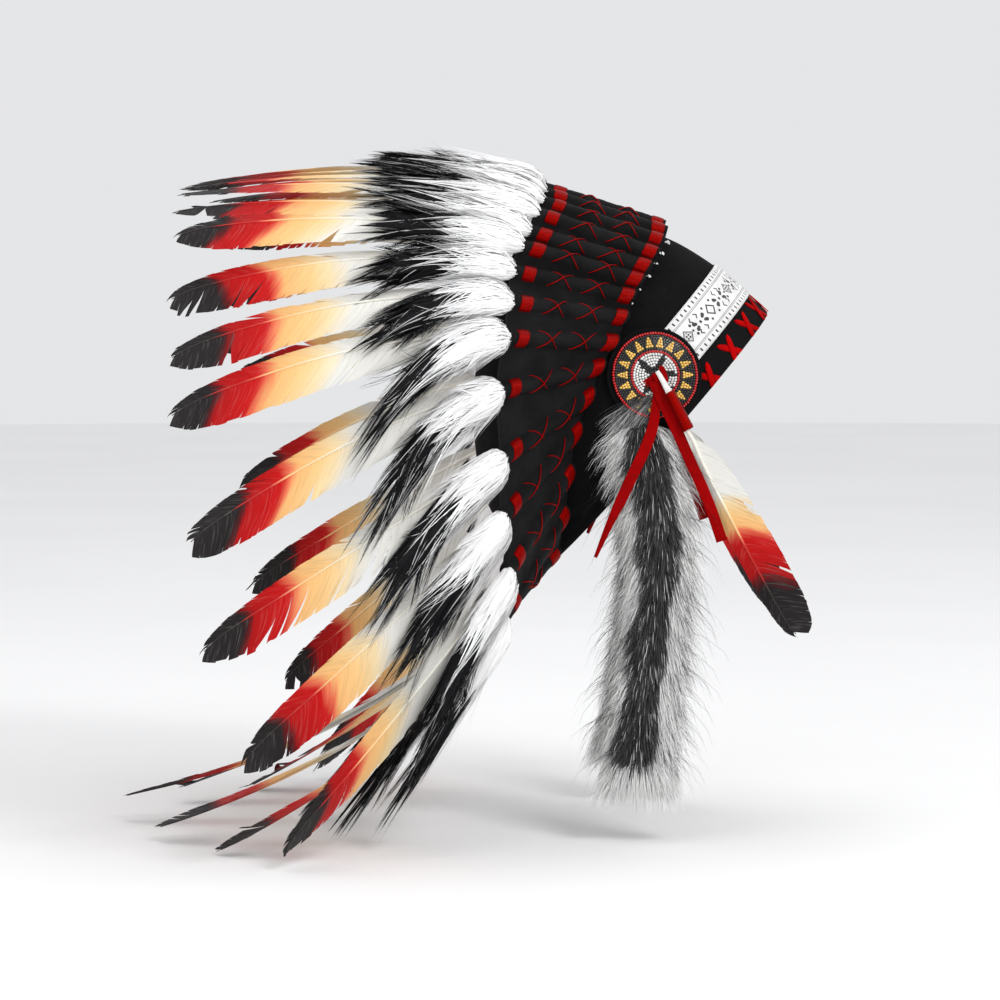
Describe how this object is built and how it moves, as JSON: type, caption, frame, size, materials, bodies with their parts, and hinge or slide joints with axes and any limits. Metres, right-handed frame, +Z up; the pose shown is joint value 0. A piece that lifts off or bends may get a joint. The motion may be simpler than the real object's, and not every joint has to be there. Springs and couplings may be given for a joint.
{
  "type": "feathered headdress",
  "caption": "Feathered headdress: a black felt crown with a white braid, beaded rosettes, fur tails and laces, and a swept-back fan of banded feathers in sewn sleeves with plume tufts.",
  "frame": {"origin": "middle of the crown's rim, where the headdress sits on a head", "axes": "+X forward, the way the wearer looks; +Y to the wearer's left; +Z up"},
  "size_m": [0.4357, 0.4834, 0.4347],
  "materials": {
    "felt_black": "matt wool felt",
    "cloth_black": "matt cloth",
    "braid_white": "woven braid with a printed pattern",
    "beads": "glossy seed beads",
    "feather": "satin barbs",
    "plume_white": "soft down",
    "fur_grey": "fur",
    "lace_red": "matt felt strip",
    "thong_white": "soft undyed leather",
    "thread_red": "satin thread"
  },
  "bodies": {
    "root": {"crown": "felt_black", "feather_l01": "feather", "feather_l02": "feather", "feather_l03": "feather", "feather_l04": "feather", "feather_l05": "feather", "feather_l06": "feather", "feather_l07": "feather", "feather_l08": "feather", "feather_l09": "feather", "feather_l10": "feather", "feather_l11": "feather", "feather_l12": "feather", "feather_l13": "feather", "feather_l14": "feather", "feather_nape": "feather", "feather_r01": "feather", "feather_r02": "feather", "feather_r03": "feather", "feather_r04": "feather", "feather_r05": "feather", "feather_r06": "feather", "feather_r07": "feather", "feather_r08": "feather", "feather_r09": "feather", "feather_r10": "feather", "feather_r11": "feather", "feather_r12": "feather", "feather_r13": "feather", "feather_r14": "feather", "feather_top": "feather", "fur_tail_l": "fur_grey", "fur_tail_r": "fur_grey", "lace_back_l": "lace_red", "lace_back_r": "lace_red", "lace_front_l": "lace_red", "lace_front_r": "lace_red", "pendant_cuff_l": "thread_red", "pendant_cuff_r": "thread_red", "pendant_feather_l": "feather", "pendant_feather_r": "feather", "quill_panel": "cloth_black", "rosette_backing_l": "felt_black", "rosette_backing_r": "felt_black", "rosette_beads_l": "beads", "rosette_beads_r": "beads", "thong_l": "thong_white", "thong_r": "thong_white", "trim_ribbon": "braid_white", "tuft_l1": "plume_white", "tuft_l2": "plume_white", "tuft_l3": "plume_white", "tuft_l4": "plume_white", "tuft_nape": "plume_white", "tuft_r1": "plume_white", "tuft_r2": "plume_white", "tuft_r3": "plume_white", "tuft_r4": "plume_white", "tuft_top": "plume_white"}
  },
  "joints": []
}
